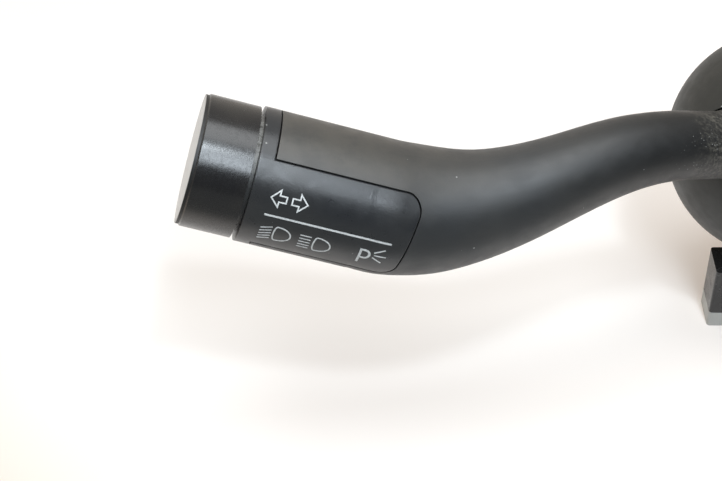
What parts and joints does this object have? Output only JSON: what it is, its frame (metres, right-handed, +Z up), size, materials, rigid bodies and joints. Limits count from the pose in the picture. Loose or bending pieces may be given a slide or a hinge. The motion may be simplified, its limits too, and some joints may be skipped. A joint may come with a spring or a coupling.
{
  "type": "airbag clock spring",
  "caption": "Steering column clock spring and angle sensor on a clamping carrier, with a curved turn indicator stalk that tilts, rocks and has a push-button end.",
  "frame": {"origin": "on the steering column axis, at the rear face of the carrier's clamping collar", "axes": "+X to the driver's right, +Y along the column away from the driver, +Z up; the part stands on the plane z = -0.046"},
  "size_m": [0.2787, 0.0813, 0.092],
  "materials": {
    "soft_touch": "soft-touch matte black",
    "legend_plastic": "matte black, white printed symbols",
    "gloss_black": "polished piano black",
    "silver_paint": "satin silver paint",
    "natural_nylon": "natural, as moulded",
    "spring_steel": "drawn wire",
    "switch_body": "moulded black",
    "circuit_board": "green solder mask",
    "shield_plastic": "fine-grained matte black",
    "dark_nylon": "glass-filled, dull",
    "pin_steel": "ground",
    "white_acetal": "smooth white",
    "case_plastic": "fine spark texture",
    "tinned_brass": "tinned",
    "light_grey_plastic": "smooth light grey",
    "rotor_plastic": "smooth, slightly lustrous",
    "yellow_plastic": "smooth yellow",
    "cable_film": "amber film",
    "glide_film": "slippery white film",
    "cover_plastic": "fine spark texture",
    "carrier_plastic": "glass-filled, dull",
    "band_steel": "zinc plated",
    "screw_steel": "zinc plated"
  },
  "bodies": {
    "module": {"detent_track": "white_acetal", "switch_case": "case_plastic", "switch_lid": "case_plastic", "contact_board": "circuit_board", "slider_rails": "dark_nylon", "switch_terminals": "tinned_brass", "switch_connector": "light_grey_plastic", "beam_switch": "switch_body", "pawl_pin": "pin_steel", "pawl_spring": "spring_steel", "ribbon_cable": "cable_film", "glide_front": "glide_film", "glide_back": "glide_film", "spring_base": "case_plastic", "spring_cover": "cover_plastic", "sensor_board": "circuit_board", "carrier": "carrier_plastic", "control_box": "case_plastic", "clamp_band": "band_steel", "clamp_screw": "screw_steel", "main_board": "circuit_board", "main_connector": "light_grey_plastic", "main_pins": "tinned_brass", "rear_cover": "case_plastic", "carrier_screws": "screw_steel"},
    "rotor": {"rotor_hub": "rotor_plastic", "squib_sockets": "yellow_plastic", "wheel_socket": "light_grey_plastic", "angle_ring": "natural_nylon", "cancel_cam": "natural_nylon"},
    "gear_a": {"measuring_gear_a": "white_acetal"},
    "gear_b": {"measuring_gear_b": "white_acetal"},
    "tilt_yoke": {"yoke": "white_acetal", "beam_pin": "pin_steel"},
    "stalk": {"lever_root": "dark_nylon", "stalk_arm": "soft_touch", "legend_sleeve": "legend_plastic", "ball_shield": "shield_plastic", "button_guide": "natural_nylon", "button_spring": "spring_steel", "tact_switch": "switch_body", "button_board": "circuit_board", "detent_spring": "spring_steel"},
    "plunger": {"detent_plunger": "pin_steel"},
    "push_button": {"end_button": "gloss_black", "end_disc": "silver_paint"},
    "slider": {"contact_slider": "natural_nylon"},
    "pawl": {"cancel_pawl": "white_acetal"}
  },
  "joints": [
    {"name": "rotor_turn", "type": "hinge", "parent": "module", "child": "rotor", "pos_m": [0, 0, 0], "axis": [0, 1, 0], "range_deg": [-900, 900], "deforming": ["ribbon_cable"]},
    {"name": "gear_a_turn", "type": "hinge", "parent": "module", "child": "gear_a", "pos_m": [-0.01357, -0.0417, 0.03074], "axis": [0, 1, 0], "range_deg": [-3830, 3830]},
    {"name": "gear_b_turn", "type": "hinge", "parent": "module", "child": "gear_b", "pos_m": [0.01373, -0.0417, 0.0311], "axis": [0, 1, 0], "range_deg": [-3605, 3605]},
    {"name": "indicator_tilt", "type": "hinge", "parent": "module", "child": "tilt_yoke", "pos_m": [-0.078, -0.026, 0], "axis": [0, 1, 0], "range_deg": [-8, 8]},
    {"name": "beam_rock", "type": "hinge", "parent": "tilt_yoke", "child": "stalk", "pos_m": [-0.078, -0.026, 0], "axis": [0, 0, 1], "range_deg": [-6, 6], "stiffness_Nm_per_rad": 1.5},
    {"name": "button_press", "type": "slide", "parent": "stalk", "child": "push_button", "axis": [0.9584, -0.0297, -0.2839], "range_m": [0, 0.0008], "stiffness_N_per_m": 2500, "springref_m": -0.0004, "deforming": ["button_spring"]},
    {"name": "detent_slide", "type": "slide", "parent": "stalk", "child": "plunger", "axis": [1, 0, 0], "range_m": [-0.0008, 0.00015], "stiffness_N_per_m": 1500, "springref_m": 0.0001, "deforming": ["detent_spring"]},
    {"name": "contact_slide", "type": "slide", "parent": "module", "child": "slider", "axis": [0, 0, 1], "range_m": [-0.0034, 0.0034]},
    {"name": "pawl_swing", "type": "hinge", "parent": "module", "child": "pawl", "pos_m": [-0.038, -0.0338, 0.016], "axis": [0, 1, 0], "range_deg": [-8, 8], "stiffness_Nm_per_rad": 0.02, "deforming": ["pawl_spring"]}
  ],
  "couplings": [
    {"joint": "gear_a_turn", "follows": "rotor_turn", "ratio": -4.25},
    {"joint": "gear_b_turn", "follows": "rotor_turn", "ratio": -4},
    {"joint": "contact_slide", "follows": "indicator_tilt", "m_per_rad": -0.0225}
  ]
}
